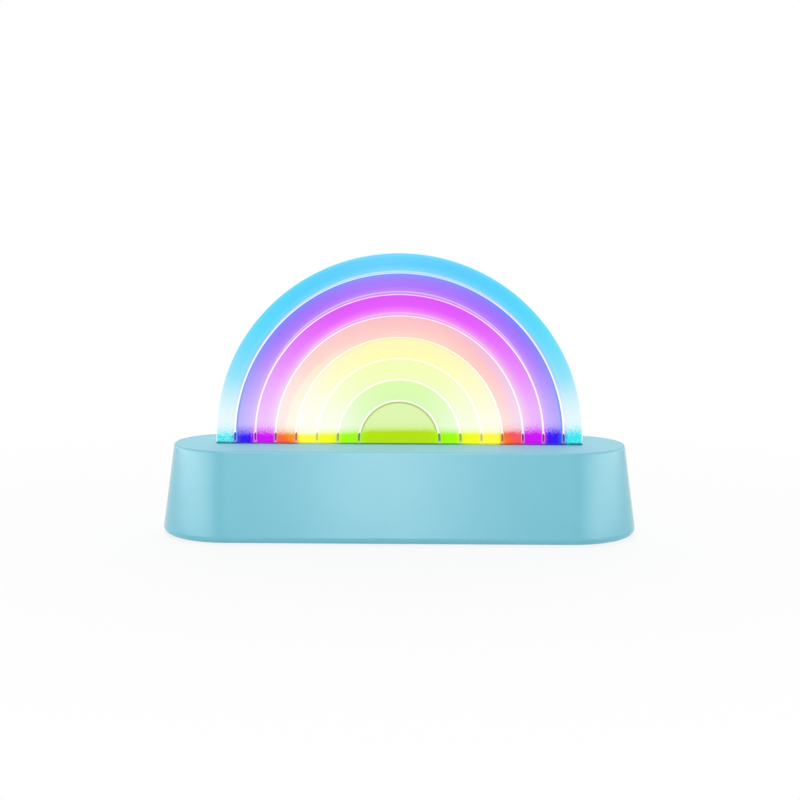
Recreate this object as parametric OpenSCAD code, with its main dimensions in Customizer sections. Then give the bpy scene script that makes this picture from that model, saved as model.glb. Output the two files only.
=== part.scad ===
// Edge-lit rainbow lamp. A clear acrylic half disc, cut into arches by seven round slots, stands in a
// metal light channel that is sunk into a pale blue moulded base. Eighteen light diodes under the foot
// of the panel light one arch each. The origin is on the table, under the middle of the base. +X runs
// along the lamp, -Y is its front and +Z is up.

/* [Base] */
// Length of the straight stretch between the centres of the two round ends
base_straight = 170; // [150:1:200]
// Depth of the base at the table, before its lower edge is rounded
base_depth = 69.6; // [66:0.2:84]
// Height of the moulded base without its feet
base_h = 45.3; // [43:0.1:56]
// Lean of the side wall
draft = 7.8; // [0:0.2:9]
// Wall thickness of the sides
wall = 2.4; // [1.8:0.1:3]
// Thickness of the top
top_t = 2.4; // [2:0.1:3.2]
// Radius of the lower outer edge
edge_r = 3; // [2:0.5:4]
// Radius of the upper outer edge
top_edge_r = 1; // [0.3:0.1:1.4]

/* [Bottom cover] */
// Thickness of the cover
floor_t = 2.6; // [2.2:0.1:3.4]
// Width of the housing's flat foot around the cover
rim_land = 1.2; // [0.8:0.1:2]
// Height of the thickened foot of the housing's wall
rim_h = 7; // [5:0.5:9]
// Gap around the cover in the foot of the housing
cover_gap = 0.15; // [0.1:0.05:0.3]
// Width of the bevel around the cover's lower edge
cover_bevel = 0.4; // [0.2:0.1:0.8]
// Diameter of a rubber foot
foot_d = 12; // [8:0.5:14]
// How far a foot stands below the cover
foot_proud = 1; // [0.5:0.1:2]
// How deep a foot is let into the cover
foot_sink = 1.2; // [0.8:0.1:1.4]
// Distance of a foot from the start of the round end
foot_inset = 12; // [6:1:30]
// Diameter of a screw post in the housing
post_d = 7; // [6:0.5:8]
// Diameter of the shank of a cover screw
cover_screw_d = 2.5; // [2:0.1:3]
// Length of the shank of a cover screw
cover_screw_l = 12; // [8:0.5:16]

/* [Panel] */
// Thickness of the acrylic sheet
panel_t = 5; // [3:0.5:6]
// Radius of the sheet's round outer edge
panel_r = 92.2; // [88:0.2:94]
// Height of the centre of that edge above the base
panel_lift = 3.7; // [3:0.1:7]
// Depth of the tongue below the top of the base
tongue = 8; // [6:0.5:9]
// Width of the slots between the arches
slot_w = 0.9; // [0.8:0.1:1.6]
// Width of the outermost arch at its foot, from the sheet's edge to the middle of the first slot
rim_band = 9.45; // [9:0.05:10]
// Step in height from one slot's crown to the next
slot_pitch = 10.7; // [10.2:0.1:11]
// How much each further slot is drawn in at its feet and lifted at its centre
foot_tuck = 0.05; // [0:0.01:0.08]
// Height of the centre of the innermost slot above the base
slot_stilt = 1.5; // [1.4:0.1:2.4]
// Height of the slots' round ends above the base
slot_floor = 0.7; // [0.4:0.1:0.8]
// Play between the sheet and each wall of the channel
panel_play = 0.15; // [0.1:0.05:0.25]
// Gap under the foot of the sheet
seat_gap = 0.1; // [0.05:0.05:0.3]

/* [Light channel] */
// Wall thickness of the channel
channel_wall = 1.4; // [1:0.1:2]
// Thickness of the channel's floor
channel_floor = 1.8; // [1.4:0.1:2.6]
// How far the channel stops short of the panel's ends
channel_short = 0.3; // [0.2:0.1:1]
// Height of the front lip above the base
front_lip = 0.5; // [0.3:0.1:1]
// Height of the back wall above the base
back_wall = 4.5; // [3:0.1:6]
// Gap around the channel's neck in the top of the base
channel_gap = 0.2; // [0.15:0.05:0.4]
// Gap at each end of the panel in the top of the base
panel_end_gap = 0.3; // [0.2:0.1:0.8]
// Distance of the fixing ears from the channel's ends
ear_inset = 22; // [14:1:32]
// Width of a fixing ear along the channel
ear_w = 8; // [7:0.5:10]
// How far an ear stands out from the channel
ear_reach = 8; // [7:0.5:9]
// Thickness of an ear
ear_t = 2; // [1.5:0.1:2.6]
// Diameter of the housing bosses that the ears are screwed to
boss_d = 6; // [5:0.5:6.5]
// Diameter of the shank of an ear screw
ear_screw_d = 2.2; // [1.8:0.1:2.5]
// Length of the shank of an ear screw
ear_screw_l = 7; // [5:0.5:9]

/* [Lights] */
// Width of the light board
led_board_w = 9; // [8:0.5:10]
// Thickness of the light board
led_board_t = 1.2; // [1:0.1:1.6]
// Thickness of the light mask
mask_t = 2; // [1.8:0.1:3]
// Width of a window in the light mask
window_w = 4.2; // [3.9:0.1:5]
// Side of a square light diode
led_w = 3.5; // [2.8:0.1:3.6]
// Height of a light diode
led_h = 1.4; // [1:0.1:1.6]

/* [Controls] */
// Height of the button and inlet row above the table
controls_z = 24; // [23:0.5:27]
// Distance of each button from the middle
button_x = 18; // [15:0.5:20]
// Diameter of a button's face
button_d = 9; // [7:0.5:10]
// How far a button stands out of the wall
button_proud = 0.9; // [0.6:0.1:1.5]
// Travel of a button
button_travel = 0.5; // [0.3:0.1:0.6]
// Gap around a button in its hole
button_gap = 0.3; // [0.25:0.05:0.5]
// Width of the inlet's metal shell
usb_w = 8.94; // [8.5:0.01:9.2]
// Height of the inlet's metal shell
usb_h = 3.26; // [3:0.01:3.5]
// How far the inlet's mouth lies inside the wall
usb_sunk = 0.4; // [0.2:0.1:1]
// Gap around the inlet in the wall
usb_gap = 0.3; // [0.2:0.05:0.5]
// Depth of the control board behind the wall's outer face
board_depth = 9.5; // [9:0.1:11]
// Width of the control board
board_w = 64; // [58:1:76]
// Height of the control board
board_h = 26; // [24:0.5:28]
// Thickness of the control board
board_t = 1.6; // [1:0.1:2]
// Distance of the board's fixing holes from its edges
board_inset = 3.6; // [3.4:0.1:4.5]
// Diameter of the shank of a board screw
board_screw_d = 1.8; // [1.4:0.1:2]
// Length of the shank of a board screw
board_screw_l = 6; // [5:0.5:8]

/* [Battery] */
// Diameter of the battery cell
cell_d = 18.5; // [14:0.5:19]
// Length of the battery cell
cell_l = 65; // [50:1:70]
// Distance of the cell's axis in front of the middle
cell_y = 10; // [9:0.5:12]
// Height of the cell above the cover's floor
cell_rise = 2; // [1.5:0.5:4]
// Thickness of the battery clamp
clamp_t = 1.6; // [1.2:0.1:2.4]
// Width of the battery clamp
clamp_w = 8; // [7:0.5:12]

/* [Hidden] */
$fn = 48;
slot_count = 7;
z_floor = foot_proud;
top_z = foot_proud + base_h;
under_top_z = top_z - top_t;
half_straight = base_straight / 2;
wall_run = wall / cos(draft);
rim_z = z_floor + rim_h;
floor_top = z_floor + floor_t;
edge_steps = 8;
// How far joined shapes reach into each other, and how far a cut runs past the face that it opens
overlap = 0.4;
past = 1;

// Corner radii and places that follow the wall
rim_r = side_r(z_floor + edge_r) - edge_r / cos(draft);
opening_r = rim_r - rim_land;
cover_r = opening_r - cover_gap;
crown_r = side_r(top_z - top_edge_r) - top_edge_r / cos(draft);
post_wall_gap = 1;
post_reach = side_r(under_top_z) - wall_run - post_d / 2 - post_wall_gap;
post_angle = 45;
post_x = half_straight + post_reach * cos(post_angle);
post_y = post_reach * sin(post_angle);
post_end_gap = 0.1;
foot_margin = 2.5;
foot_air = 0.15;
foot_x = half_straight - foot_inset;
foot_y = cover_r - foot_d / 2 - foot_margin;

// Screws and holes
screw_air = 0.3;
pilot_air = 0.05;
pilot_spare = 2;
board_spare = 1;
head_air = 0.4;
cover_head_d = 5.6;
cover_head_h = 1.3;
head_sink = 1.4;
small_head_d = 4;
small_head_h = 1.4;
recess_w = 0.7;
recess_l = 0.62;
recess_depth = 0.7;

// Light channel, from the top of the base down
channel_half = panel_r - channel_short;
opening_half = panel_r + panel_end_gap;
tongue_z = top_z - tongue;
mask_top = tongue_z - seat_gap;
led_board_top = mask_top - mask_t;
pocket_floor = led_board_top - led_board_t;
pocket_play = 0.15;
pocket_top = mask_top + pocket_play;
channel_z = pocket_floor - channel_floor;
gap_half = panel_t / 2 + panel_play;
neck_half = gap_half + channel_wall;
pocket_half = max(led_board_w / 2, gap_half) + pocket_play;
body_half = pocket_half + channel_wall;
shoulder_z = pocket_top + channel_wall;
ear_x = channel_half - ear_inset;
ear_top = channel_z + ear_t;
ear_hole_y = body_half + ear_reach / 2 + screw_air;
board_end = 0.5;
led_board_half = channel_half - board_end;
lead_hole = [9, 5];
lead_x = 18;

// Control board parts, in the frame of the back wall
flange_rim = 1.3;
flange_d = button_d + 2 * flange_rim;
flange_t = 1;
flange_gap = 0.3;
stem_d = 4;
switch_w = 6;
switch_h = 3.5;
plunger_d = 3.4;
stem_end = 5.2;
plunger_out = board_depth - switch_h - stem_end;
plunger_in = 1.2;
plunger_air = 0.25;
bore_spare = 0.3;
bore_depth = plunger_in + button_travel + bore_spare;
dome_rise = 0.5;
dome_steps = 6;
usb_wall = 0.3;
usb_back = 2.6;
tongue_w = 6.7;
tongue_h = 0.7;
tongue_back = 0.8;
board_back = board_depth + board_t;
board_post_d = 5.5;
board_hole_x = board_w / 2 - board_inset;
board_hole_v = board_h / 2 - board_inset;
header_size = [8, 5, 6];
plug_size = [6.6, 3.8, 4];
plug_sunk = 3;
header_wall = 0.6;
led_header_at = [lead_x, 6];
battery_header_at = [-18, -6];
led_header_pins = 3;
battery_header_pins = 2;
controller_at = [0, 4];
controller_size = [9.9, 3.9, 1.6];
controller_legs = 8;
charger_at = [-2, -7];
charger_size = [4.9, 3.9, 1.5];
charger_legs = 4;
leg_pitch = 1.27;
inductor_at = [8, -7];
capacitors_at = [[-10.5, 6], [16, -6.5]];

// Battery, lying on the cover in front of the board
cell_r = cell_d / 2;
cell_z = floor_top + cell_rise + cell_r;
tab_t = 0.3;
tab_d = 8;
saddle_inset = 10;
saddle_x = cell_l / 2 - saddle_inset;
saddle_w = 5;
saddle_side = 1.5;
saddle_half = cell_r + saddle_side;
saddle_grip = 4.2;
saddle_h = cell_rise + saddle_grip;
cell_air = 0.1;
clamp_gap = 0.3;
clamp_r = cell_r + clamp_gap;
clamp_post_d = 6;
clamp_y = clamp_r + clamp_t + clamp_post_d / 2;
clamp_foot_t = 2;
clamp_screw_l = 6;
clamp_screw_d = 2.2;

// Insulated wires, with points that are passed in a smooth curve
lead_d = 1.3;
lead_pitch = 1.8;
lead_steps = 4;
lead_sides = 8;
inward = [0, -cos(draft), -sin(draft)];
red_start = [cell_l / 2 + tab_t, -cell_y, cell_z];
red_end = plug_exit(battery_header_at, 1, battery_header_pins);
red_route = [
    red_start,
    red_start + [4, 0, 0],
    red_start + [6, 9, 5],
    [22, 5, cell_z + 6],
    [0, 6, cell_z + 6],
    red_end + [5, -9, 2],
    red_end + [1.5, -6, 0],
    red_end + 3 * inward,
    red_end
];
black_start = [-cell_l / 2 - tab_t, -cell_y, cell_z];
black_end = plug_exit(battery_header_at, 0, battery_header_pins);
black_route = [
    black_start,
    black_start + [-4, 0, 0],
    black_start + [-5, 10, 2],
    black_end + [-7, -9, 1],
    black_end + [-1.5, -6, 0],
    black_end + 3 * inward,
    black_end
];

// Outer half depth of the base at height z
function side_r(z) = base_depth / 2 - (z - z_floor) * tan(draft);

// Points on an arc round c, from angle a0 to a1
function arc_points(c, r, a0, a1, n) =
    [for (i = [0:n]) let (a = a0 + (a1 - a0) * i / n) c + r * [cos(a), sin(a)]];

// A half profile that starts and ends on the axis, with its mirror image added
function both_sides(p) = concat(p, [for (i = [len(p) - 2:-1:1]) [-p[i][0], p[i][1]]]);

// Radius of slot i, counted from the innermost, and the height of its centre above the base
function slot_r(i) =
    let (last = slot_count - 1)
    panel_r - rim_band - slot_pitch * (last - i) + foot_tuck * (last * last - i * i);
function slot_lift(i) = slot_stilt + foot_tuck * i * i;

// Middle of the foot of the arch outside slot i
function foot_mid(i) = (slot_r(i) + (i < slot_count - 1 ? slot_r(i + 1) : panel_r)) / 2;

// The four lights under the half disc in the middle
centre_lights = [for (s = [-1, 1], k = [1, 3]) s * k * slot_r(0) / 4];
all_lights = concat(centre_lights, [for (s = [-1, 1], i = [0:slot_count - 1]) s * foot_mid(i)]);

// Point of the frame of the back wall: x along the lamp, v up the wall, d behind its outer face
function rear_point(x, v, d) = [
    x,
    side_r(controls_z) - v * sin(draft) - d * cos(draft),
    controls_z + v * cos(draft) - d * sin(draft)
];

// Point of a route, with the ends carried on straight beyond the list
function route_point(p, i) =
    i < 0 ? 2 * p[0] - p[1] : i >= len(p) ? 2 * p[len(p) - 1] - p[len(p) - 2] : p[i];

// Place and direction at share t between the middle two of four points a, b, c and d of a smooth curve
function curve_at(a, b, c, d, t) =
    b + t / 2 * (c - a + t * (2 * a - 5 * b + 4 * c - d + t * (3 * (b - c) + d - a)));
function curve_way(a, b, c, d, t) =
    c - a + 2 * t * (2 * a - 5 * b + 4 * c - d) + 3 * t * t * (3 * (b - c) + d - a);

// A profile carried round an oblong plan
module oblong(half, profile) {
    for (side = [-1, 1])
        translate([side * half, 0, 0])
            rotate([0, 0, -90 * side])
                rotate_extrude(angle = 180)
                    polygon(profile);
    translate([-half, 0, 0])
        rotate([90, 0, 90])
            linear_extrude(2 * half)
                polygon(both_sides(profile));
}

// An upright oblong plug of length l, width w and height h, standing on z = 0
module oblong_plug(l, w, h) {
    oblong((l - w) / 2, [[0, 0], [w / 2, 0], [w / 2, h], [0, h]]);
}

// Half a ring of radius r and width w, thickness t, standing on its ends in the XZ plane
module half_ring(r, w, t) {
    rotate([90, 0, 0])
        translate([0, 0, -t / 2])
            rotate_extrude(angle = 180)
                translate([r - w / 2, 0])
                    square([w, t]);
}

// Places children at the four corners of a rectangle
module at_corners(x, y) {
    for (sx = [-1, 1], sy = [-1, 1])
        translate([sx * x, sy * y, 0])
            children();
}

// Frame of the back wall: its outer face is z = 0, with z pointing out and y up the wall
module on_back_wall(x) {
    translate([x, side_r(controls_z), controls_z])
        rotate([90 - draft, 0, 180])
            children();
}

// Frame of the control board's inner face, at a place [along the lamp, up the wall], z pointing inwards
module on_board_back(at) {
    on_back_wall(at[0])
        translate([0, at[1], -board_back])
            rotate([0, 180, 0])
                children();
}

// A screw pointing up: the shank stands on z = 0 and the head lies below it, with a cross recess
module screw_up(d, l, head_d, head_h) {
    difference() {
        union() {
            translate([0, 0, -overlap])
                cylinder(d = d, h = l + overlap);
            translate([0, 0, -head_h])
                cylinder(d = head_d, h = head_h);
        }
        for (a = [0, 90])
            rotate([0, 0, a])
                translate([-recess_l * head_d / 2, -recess_w / 2, -head_h - overlap])
                    cube([recess_l * head_d, recess_w, recess_depth + overlap]);
    }
}

// A round insulated wire along a smooth curve through the points of its route
module lead(p) {
    aside = [0.6, 0.1, 0.8];
    spans = len(p) - 1;
    last = spans * lead_steps;
    rings = [for (j = [0:last])
        let (
            i = min(floor(j / lead_steps), spans - 1),
            t = j / lead_steps - i,
            q = [for (k = [-1:2]) route_point(p, i + k)],
            way = curve_way(q[0], q[1], q[2], q[3], t),
            w = way / norm(way),
            u = cross(w, aside) / norm(cross(w, aside)),
            v = cross(w, u)
        )
        [for (k = [0:lead_sides - 1])
            let (a = 360 * k / lead_sides)
            curve_at(q[0], q[1], q[2], q[3], t) + lead_d / 2 * (u * cos(a) + v * sin(a))]];
    sides = [for (j = [0:last - 1], k = [0:lead_sides - 1])
        let (n = (k + 1) % lead_sides, a = j * lead_sides, b = a + lead_sides)
        each [[a + k, b + n, a + n], [a + k, b + k, b + n]]];
    ends = [
        [for (k = [0:lead_sides - 1]) k],
        [for (k = [lead_sides - 1:-1:0]) last * lead_sides + k]
    ];
    polyhedron([for (ring = rings) each ring], concat(sides, ends));
}

// Pale blue moulded shell with its slot, posts and openings, and a thickened foot around the cover
module base_housing() {
    inner_top_r = side_r(under_top_z) - wall_run;
    profile = concat(
        [
            [0, under_top_z],
            [inner_top_r, under_top_z],
            [side_r(rim_z) - wall_run, rim_z],
            [opening_r, floor_top],
            [opening_r, z_floor]
        ],
        arc_points([rim_r, z_floor + edge_r], edge_r, -90, draft, edge_steps),
        arc_points([crown_r, top_z - top_edge_r], top_edge_r, draft, 90, edge_steps / 2),
        [[0, top_z]]
    );
    post_z = floor_top + post_end_gap;
    boss_len = under_top_z - ear_top;
    pilot = cover_screw_l - (post_z - z_floor - head_sink) + pilot_spare;
    board_pilot = board_screw_l - board_t + board_spare;
    color("#8CCBDB")
    difference() {
        union() {
            oblong(half_straight, profile);
            at_corners(post_x, post_y)
                translate([0, 0, post_z])
                    cylinder(d = post_d, h = under_top_z - post_z + overlap);
            at_corners(ear_x, ear_hole_y)
                translate([0, 0, ear_top])
                    cylinder(d = boss_d, h = boss_len + overlap);
            for (x = [-1, 1], v = [-1, 1])
                on_back_wall(x * board_hole_x)
                    translate([0, v * board_hole_v, -board_depth])
                        cylinder(d = board_post_d, h = board_depth - wall + overlap);
        }
        translate([-opening_half, -neck_half - channel_gap, under_top_z - past])
            cube([2 * opening_half, 2 * (neck_half + channel_gap), top_t + 2 * past]);
        at_corners(post_x, post_y)
            translate([0, 0, post_z - past])
                cylinder(d = cover_screw_d + 2 * pilot_air, h = pilot + past);
        at_corners(ear_x, ear_hole_y)
            translate([0, 0, ear_top - past])
                cylinder(d = ear_screw_d + 2 * pilot_air, h = ear_screw_l - ear_t + pilot_spare + past);
        for (x = [-1, 1], v = [-1, 1])
            on_back_wall(x * board_hole_x)
                translate([0, v * board_hole_v, -board_depth - past])
                    cylinder(d = board_screw_d + 2 * pilot_air, h = board_pilot + past);
        for (x = [-button_x, button_x])
            on_back_wall(x)
                translate([0, 0, -wall - past])
                    cylinder(d = button_d + 2 * button_gap, h = wall + 2 * past);
        on_back_wall(0)
            translate([0, 0, -wall - past])
                oblong_plug(usb_w + 2 * usb_gap, usb_h + 2 * usb_gap, wall + 2 * past);
    }
}

// Flat cover, let into the foot of the housing, with battery saddles and clamp posts
module bottom_cover() {
    profile = [
        [0, z_floor],
        [cover_r - cover_bevel, z_floor],
        [cover_r, z_floor + cover_bevel],
        [cover_r, floor_top],
        [0, floor_top]
    ];
    color("#86C7D8")
    difference() {
        union() {
            oblong(half_straight, profile);
            for (x = [-1, 1])
                translate([x * saddle_x - saddle_w / 2, -cell_y - saddle_half, floor_top - overlap])
                    cube([saddle_w, 2 * saddle_half, saddle_h + overlap]);
            for (side = [-1, 1])
                translate([0, -cell_y + side * clamp_y, floor_top - overlap])
                    cylinder(d = clamp_post_d, h = cell_z - floor_top + overlap);
        }
        translate([-cell_l / 2 - past, -cell_y, cell_z])
            rotate([0, 90, 0])
                cylinder(r = cell_r + cell_air, h = cell_l + 2 * past);
        for (side = [-1, 1])
            translate([0, -cell_y + side * clamp_y, cell_z + clamp_foot_t - clamp_screw_l - board_spare])
                cylinder(d = clamp_screw_d + 2 * pilot_air, h = clamp_screw_l + past);
        at_corners(post_x, post_y) {
            translate([0, 0, z_floor - past])
                cylinder(d = cover_screw_d + 2 * screw_air, h = floor_t + 2 * past);
            translate([0, 0, z_floor - past])
                cylinder(d = cover_head_d + 2 * head_air, h = head_sink + past);
        }
        at_corners(foot_x, foot_y)
            translate([0, 0, z_floor - past])
                cylinder(d = foot_d + 2 * foot_air, h = foot_sink + past);
    }
}

// Four stuck-on pads with a bevelled lower edge
module rubber_feet() {
    bevel = foot_proud / 2;
    color("#4A4F55")
    at_corners(foot_x, foot_y)
        rotate_extrude()
            polygon([
                [0, 0], [foot_d / 2 - bevel, 0], [foot_d / 2, bevel],
                [foot_d / 2, foot_proud + foot_sink], [0, foot_proud + foot_sink]
            ]);
}

// Four cross-head screws under the cover
module cover_screws() {
    color("#B9BCC0")
    at_corners(post_x, post_y)
        translate([0, 0, z_floor + head_sink])
            screw_up(cover_screw_d, cover_screw_l, cover_head_d, cover_head_h);
}

// Clear acrylic sheet: half disc on short straight legs, with its tongue and seven slots
module rainbow_panel() {
    centre_z = top_z + panel_lift;
    end_z = top_z + slot_floor + slot_w / 2;
    color("#C9B6F2", 0.8)
    difference() {
        union() {
            translate([0, 0, centre_z])
                half_ring(panel_r / 2, panel_r, panel_t);
            translate([-panel_r, -panel_t / 2, tongue_z])
                cube([2 * panel_r, panel_t, centre_z - tongue_z]);
        }
        for (i = [0:slot_count - 1])
            rainbow_slot(slot_r(i), top_z + slot_lift(i), end_z);
    }
}

// One slot: half a ring on two short legs with round ends, cut right through the sheet
module rainbow_slot(r, centre_z, end_z) {
    deep = panel_t + 2 * past;
    translate([0, 0, centre_z])
        half_ring(r, slot_w, deep);
    for (side = [-1, 1])
        translate([side * r, 0, end_z]) {
            translate([-slot_w / 2, -deep / 2, 0])
                cube([slot_w, deep, centre_z - end_z]);
            rotate([0, 180, 0])
                half_ring(slot_w / 4, slot_w / 2, deep);
        }
}

// Dark anodised channel: its neck grips the panel and its pocket holds the lights
module light_channel() {
    section = [
        [-body_half, channel_z],
        [-body_half, shoulder_z],
        [-neck_half, shoulder_z],
        [-neck_half, top_z + front_lip],
        [-gap_half, top_z + front_lip],
        [-gap_half, pocket_top],
        [-pocket_half, pocket_top],
        [-pocket_half, pocket_floor],
        [pocket_half, pocket_floor],
        [pocket_half, pocket_top],
        [gap_half, pocket_top],
        [gap_half, top_z + back_wall],
        [neck_half, top_z + back_wall],
        [neck_half, shoulder_z],
        [body_half, shoulder_z],
        [body_half, channel_z]
    ];
    color("#4C4F57")
    difference() {
        union() {
            translate([-channel_half, 0, 0])
                rotate([90, 0, 90])
                    linear_extrude(2 * channel_half)
                        polygon(section);
            for (side = [-1, 1], m = [0, 1])
                mirror([0, m, 0])
                    translate([side * ear_x - ear_w / 2, body_half - overlap, channel_z])
                        cube([ear_w, ear_reach + overlap, ear_t]);
        }
        at_corners(ear_x, ear_hole_y)
            translate([0, 0, channel_z - past])
                cylinder(d = ear_screw_d + 2 * screw_air, h = ear_t + 2 * past);
        translate([lead_x - lead_hole[0] / 2, -lead_hole[1] / 2, channel_z - past])
            cube([lead_hole[0], lead_hole[1], channel_floor + 2 * past]);
    }
}

// Four screws that hold the channel's ears to the housing bosses
module channel_screws() {
    color("#B9BCC0")
    at_corners(ear_x, ear_hole_y)
        translate([0, 0, channel_z])
            screw_up(ear_screw_d, ear_screw_l, small_head_d, small_head_h);
}

// White strip with a window over each light, which the panel's foot rests on
module light_mask() {
    color("#F2F2EE")
    difference() {
        translate([-led_board_half, -led_board_w / 2, led_board_top])
            cube([2 * led_board_half, led_board_w, mask_t]);
        for (x = all_lights)
            translate([x - window_w / 2, -window_w / 2, led_board_top - past])
                cube([window_w, window_w, mask_t + 2 * past]);
    }
}

// Long narrow circuit board that carries the lights
module led_board() {
    color("#E9EDE6")
    translate([-led_board_half, -led_board_w / 2, pocket_floor])
        cube([2 * led_board_half, led_board_w, led_board_t]);
}

// One light diode: a square package with a round lens
module light_diode(x) {
    lens_h = 0.4;
    lens_rim = 0.4;
    translate([x - led_w / 2, -led_w / 2, led_board_top])
        cube([led_w, led_w, led_h - lens_h]);
    translate([x, 0, led_board_top + led_h - lens_h - overlap])
        cylinder(d = led_w - 2 * lens_rim, h = lens_h + overlap);
}

module light_pair(i) {
    for (side = [-1, 1])
        light_diode(side * foot_mid(i));
}

module leds_cyan() {
    color("#28D8F1")
    light_pair(6);
}

module leds_blue() {
    color("#381AF7")
    light_pair(5);
}

module leds_magenta() {
    color("#D000F8")
    light_pair(4);
}

module leds_orange() {
    color("#FF6020")
    light_pair(3);
}

module leds_yellow() {
    color("#FFE820")
    light_pair(2);
}

module leds_lemon() {
    color("#F0FF1E")
    light_pair(1);
}

module leds_green() {
    color("#90FF00")
    light_pair(0);
}

module leds_lime() {
    color("#B8E200")
    for (x = centre_lights)
        light_diode(x);
}

// Green circuit board that stands on four posts behind the back wall
module control_board() {
    color("#2F7D4B")
    on_back_wall(0)
        translate([0, 0, -board_back])
            difference() {
                translate([-board_w / 2, -board_h / 2, 0])
                    cube([board_w, board_h, board_t]);
                at_corners(board_hole_x, board_hole_v)
                    translate([0, 0, -past])
                        cylinder(d = board_screw_d + 2 * screw_air, h = board_t + 2 * past);
            }
}

module board_screws() {
    color("#C9CCD0")
    on_back_wall(0)
        at_corners(board_hole_x, board_hole_v)
            translate([0, 0, -board_back])
                screw_up(board_screw_d, board_screw_l, small_head_d, small_head_h);
}

// A black chip with a row of bent legs on each long side
module gull_chip(size, legs) {
    leg_w = 0.45;
    leg_out = 1;
    leg_t = 0.25;
    translate([-size[0] / 2, -size[1] / 2, leg_t])
        cube([size[0], size[1], size[2] - leg_t]);
    for (side = [-1, 1], i = [0:legs - 1]) {
        x = (i - (legs - 1) / 2) * leg_pitch - leg_w / 2;
        translate([x, side * (size[1] + leg_out) / 2 - leg_out / 2, 0])
            cube([leg_w, leg_out, leg_t]);
        translate([x, side * (size[1] / 2 + leg_t) - leg_t, 0])
            cube([leg_w, 2 * leg_t, size[2] / 2]);
    }
}

module controller_chip() {
    color("#2A2B2E")
    on_board_back(controller_at)
        gull_chip(controller_size, controller_legs);
}

module charger_chip() {
    color("#2A2B2E")
    on_board_back(charger_at)
        gull_chip(charger_size, charger_legs);
}

// Shielded coil of the charging circuit: a square foot under a round body
module power_inductor() {
    side = 6;
    foot_t = 0.6;
    can_d = 5.4;
    can_h = 3;
    color("#3B3D42")
    on_board_back(inductor_at) {
        translate([-side / 2, -side / 2, 0])
            cube([side, side, foot_t]);
        cylinder(d = can_d, h = can_h);
    }
}

// Two round can capacitors
module board_capacitors() {
    can_d = 6.3;
    can_h = 5.6;
    collar = 0.8;
    color("#C4C8CE")
    for (at = capacitors_at)
        on_board_back(at) {
            cylinder(d = can_d + collar, h = collar);
            cylinder(d = can_d, h = can_h);
        }
}

// Oval metal shell of the charging inlet, standing up from the board to the wall
module usb_shell() {
    h = board_depth - usb_sunk;
    color("#C8CBD0")
    on_back_wall(0)
        translate([0, 0, -board_depth])
            difference() {
                oblong_plug(usb_w, usb_h, h);
                translate([0, 0, -past])
                    oblong_plug(usb_w - 2 * usb_wall, usb_h - 2 * usb_wall, h + 2 * past);
            }
}

// Black insulator with the thin contact tongue inside the shell
module usb_tongue() {
    h = board_depth - usb_sunk - tongue_back;
    air = 0.1;
    color("#25262A")
    on_back_wall(0)
        translate([0, 0, -board_depth]) {
            oblong_plug(usb_w - 2 * (usb_wall + air), usb_h - 2 * (usb_wall + air), usb_back);
            translate([-tongue_w / 2, -tongue_h / 2, usb_back - overlap])
                cube([tongue_w, tongue_h, h - usb_back + overlap]);
        }
}

// Push button cap: a domed face, a flange behind the wall and a stem to the switch
module button_cap(x) {
    r = button_d / 2;
    face_z = button_proud - dome_rise;
    flange_z = -wall - flange_gap;
    dome = [for (i = [0:dome_steps])
        let (a = 90 * i / dome_steps) [r * cos(a), face_z + dome_rise * sin(a)]];
    on_back_wall(x)
        rotate_extrude()
            polygon(concat(
                [
                    [0, -stem_end], [stem_d / 2, -stem_end], [stem_d / 2, flange_z - flange_t],
                    [flange_d / 2, flange_z - flange_t], [flange_d / 2, flange_z], [r, flange_z]
                ],
                dome
            ));
}

// Round plunger of a push switch
module switch_plunger(x) {
    on_back_wall(x)
        translate([0, 0, -board_depth + switch_h - plunger_in])
            cylinder(d = plunger_d, h = plunger_in + plunger_out);
}

// Square switch body on the board, with the bore that guides its plunger
module switch_body(x) {
    on_back_wall(x)
        translate([0, 0, -board_depth])
            difference() {
                translate([-switch_w / 2, -switch_w / 2, 0])
                    cube([switch_w, switch_w, switch_h]);
                translate([0, 0, switch_h - bore_depth])
                    cylinder(d = plunger_d + 2 * plunger_air, h = bore_depth + past);
            }
}

module power_button() {
    color("#F4F7F8")
    button_cap(button_x);
}

module power_plunger() {
    color("#33353A")
    switch_plunger(button_x);
}

module power_switch() {
    color("#1F2023")
    switch_body(button_x);
}

module mode_button() {
    color("#F4F7F8")
    button_cap(-button_x);
}

module mode_plunger() {
    color("#33353A")
    switch_plunger(-button_x);
}

module mode_switch() {
    color("#1F2023")
    switch_body(-button_x);
}

// Round rechargeable cell, lying along the lamp with its raised contact at +X
module battery_cell() {
    contact_d = 6;
    contact_h = 1;
    color("#4C78C9")
    translate([-cell_l / 2, -cell_y, cell_z])
        rotate([0, 90, 0]) {
            cylinder(r = cell_r, h = cell_l - contact_h);
            cylinder(d = contact_d, h = cell_l);
        }
}

// Thin round solder tabs on the ends of the cell
module battery_tabs() {
    color("#D5D2C8")
    for (x = [-cell_l / 2 - tab_t, cell_l / 2])
        translate([x, -cell_y, cell_z])
            rotate([0, 90, 0])
                cylinder(d = tab_d, h = tab_t);
}

// Saddle clamp over the cell, with a foot on each clamp post
module battery_clamp() {
    color("#E4E6E2")
    translate([0, -cell_y, cell_z])
        difference() {
            union() {
                rotate([0, 0, 90])
                    half_ring(clamp_r + clamp_t / 2, clamp_t, clamp_w);
                for (m = [0, 1])
                    mirror([0, m, 0])
                        translate([-clamp_w / 2, clamp_r + clamp_t / 2, 0])
                            cube([clamp_w, clamp_post_d + clamp_t / 2, clamp_foot_t]);
            }
            for (side = [-1, 1])
                translate([0, side * clamp_y, -past])
                    cylinder(d = clamp_screw_d + 2 * screw_air, h = clamp_foot_t + 2 * past);
        }
}

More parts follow.
